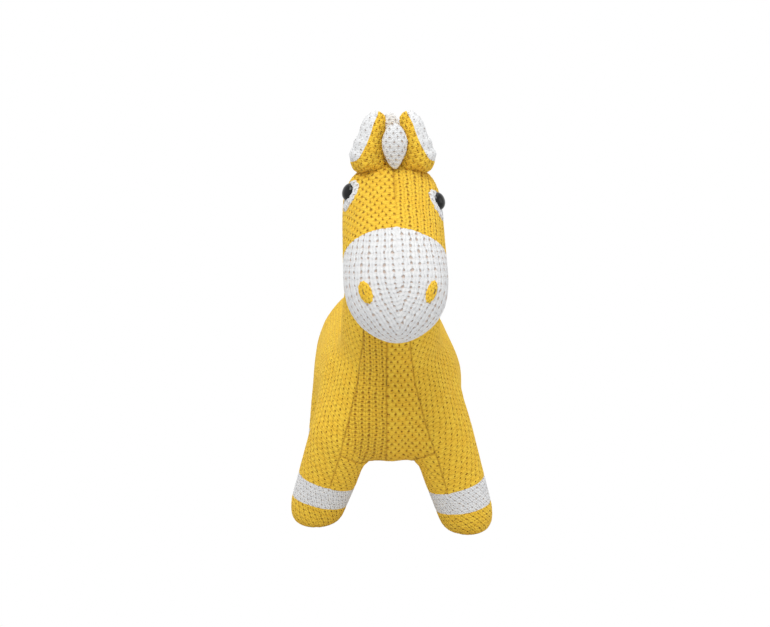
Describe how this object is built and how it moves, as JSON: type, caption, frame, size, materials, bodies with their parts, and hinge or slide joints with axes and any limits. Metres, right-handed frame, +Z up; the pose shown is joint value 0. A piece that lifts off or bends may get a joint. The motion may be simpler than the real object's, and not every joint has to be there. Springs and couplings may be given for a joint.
{
  "type": "plush horse",
  "caption": "Standing knitted toy horse with stuffed torso, legs, neck and head, domed eyes, puffed ears, tufted mane and hanging tail; it rests on its hooves.",
  "frame": {"origin": "on the floor, at the centre of the toy's bounding box", "axes": "+Z up; the horse faces -Y and its left side is +X"},
  "size_m": [0.1796, 0.3724, 0.3821],
  "materials": {
    "yellow_knit": "chunky knitted cotton, warm yellow, matt",
    "white_knit": "chunky knitted cotton, white, matt",
    "stuffing": "loose polyester fibre filling",
    "eye_black": "polished black plastic",
    "washer": "moulded plain plastic",
    "dark_thread": "twisted brown embroidery thread"
  },
  "bodies": {
    "torso": {"torso_side_left": "yellow_knit", "torso_side_right": "yellow_knit", "chest_panel_left": "yellow_knit", "chest_panel_right": "yellow_knit", "belly_gusset": "yellow_knit", "torso_stuffing": "stuffing"},
    "neck": {"neck_side_left": "yellow_knit", "neck_side_right": "yellow_knit", "throat_panel": "yellow_knit", "neck_stuffing": "stuffing", "mane_puff_upper": "white_knit", "mane_puff_middle": "white_knit", "mane_puff_lower": "white_knit"},
    "head": {"crown_left": "yellow_knit", "crown_right": "yellow_knit", "muzzle": "white_knit", "head_stuffing": "stuffing", "eye_patch_left": "white_knit", "eye_patch_right": "white_knit", "eye_left": "eye_black", "eye_right": "eye_black", "eye_washer_left": "washer", "eye_washer_right": "washer", "nostril_patch_left": "yellow_knit", "nostril_patch_right": "yellow_knit", "nostril_stitch_left": "dark_thread", "nostril_stitch_right": "dark_thread", "forelock": "white_knit", "crown_tuft": "white_knit", "poll_tuft": "white_knit", "nape_tuft": "white_knit"},
    "ear_left": {"ear_outer_left": "white_knit", "ear_inner_left": "yellow_knit", "ear_stuffing_left": "stuffing"},
    "ear_right": {"ear_outer_right": "white_knit", "ear_inner_right": "yellow_knit", "ear_stuffing_right": "stuffing"},
    "tail_root": {"tail_root": "white_knit"},
    "tail": {"tail_cover": "white_knit", "tail_stuffing": "stuffing"},
    "leg_fore_left": {"leg_sleeve_fore_left": "yellow_knit", "leg_band_fore_left": "white_knit", "hoof_fore_left": "yellow_knit", "leg_stuffing_fore_left": "stuffing"},
    "leg_fore_right": {"leg_sleeve_fore_right": "yellow_knit", "leg_band_fore_right": "white_knit", "hoof_fore_right": "yellow_knit", "leg_stuffing_fore_right": "stuffing"},
    "leg_hind_left": {"leg_sleeve_hind_left": "yellow_knit", "leg_band_hind_left": "white_knit", "hoof_hind_left": "yellow_knit", "leg_stuffing_hind_left": "stuffing"},
    "leg_hind_right": {"leg_sleeve_hind_right": "yellow_knit", "leg_band_hind_right": "white_knit", "hoof_hind_right": "yellow_knit", "leg_stuffing_hind_right": "stuffing"}
  },
  "joints": [
    {"name": "neck_nod", "type": "hinge", "parent": "torso", "child": "neck", "pos_m": [0, -0.043, 0.147], "axis": [1, 0, 0], "range_deg": [-10, 14], "stiffness_Nm_per_rad": 4},
    {"name": "head_turn", "type": "hinge", "parent": "neck", "child": "head", "pos_m": [0, -0.073, 0.262], "axis": [0, -0.2524, 0.9676], "range_deg": [-20, 20], "stiffness_Nm_per_rad": 1.2},
    {"name": "ear_left_fold", "type": "hinge", "parent": "head", "child": "ear_left", "pos_m": [0.021, -0.08, 0.333], "axis": [0, 1, 0], "range_deg": [0, 30], "stiffness_Nm_per_rad": 0.05},
    {"name": "ear_right_fold", "type": "hinge", "parent": "head", "child": "ear_right", "pos_m": [-0.021, -0.08, 0.333], "axis": [0, -1, 0], "range_deg": [0, 30], "stiffness_Nm_per_rad": 0.05},
    {"name": "tail_lift", "type": "hinge", "parent": "torso", "child": "tail_root", "pos_m": [0, 0.147, 0.152], "axis": [1, 0, 0], "range_deg": [0, 45], "stiffness_Nm_per_rad": 0.15},
    {"name": "tail_swing", "type": "hinge", "parent": "tail_root", "child": "tail", "pos_m": [0, 0.147, 0.152], "axis": [0, 1, 0], "range_deg": [-30, 30], "stiffness_Nm_per_rad": 0.15},
    {"name": "leg_fore_left_swing", "type": "hinge", "parent": "torso", "child": "leg_fore_left", "pos_m": [0.0435, -0.067, 0.088], "axis": [1, 0, 0], "range_deg": [-12, 12], "stiffness_Nm_per_rad": 4},
    {"name": "leg_fore_right_swing", "type": "hinge", "parent": "torso", "child": "leg_fore_right", "pos_m": [-0.0435, -0.067, 0.088], "axis": [1, 0, 0], "range_deg": [-12, 12], "stiffness_Nm_per_rad": 4},
    {"name": "leg_hind_left_swing", "type": "hinge", "parent": "torso", "child": "leg_hind_left", "pos_m": [0.038, 0.077, 0.088], "axis": [1, 0, 0], "range_deg": [-12, 12], "stiffness_Nm_per_rad": 4},
    {"name": "leg_hind_right_swing", "type": "hinge", "parent": "torso", "child": "leg_hind_right", "pos_m": [-0.038, 0.077, 0.088], "axis": [1, 0, 0], "range_deg": [-12, 12], "stiffness_Nm_per_rad": 4}
  ]
}
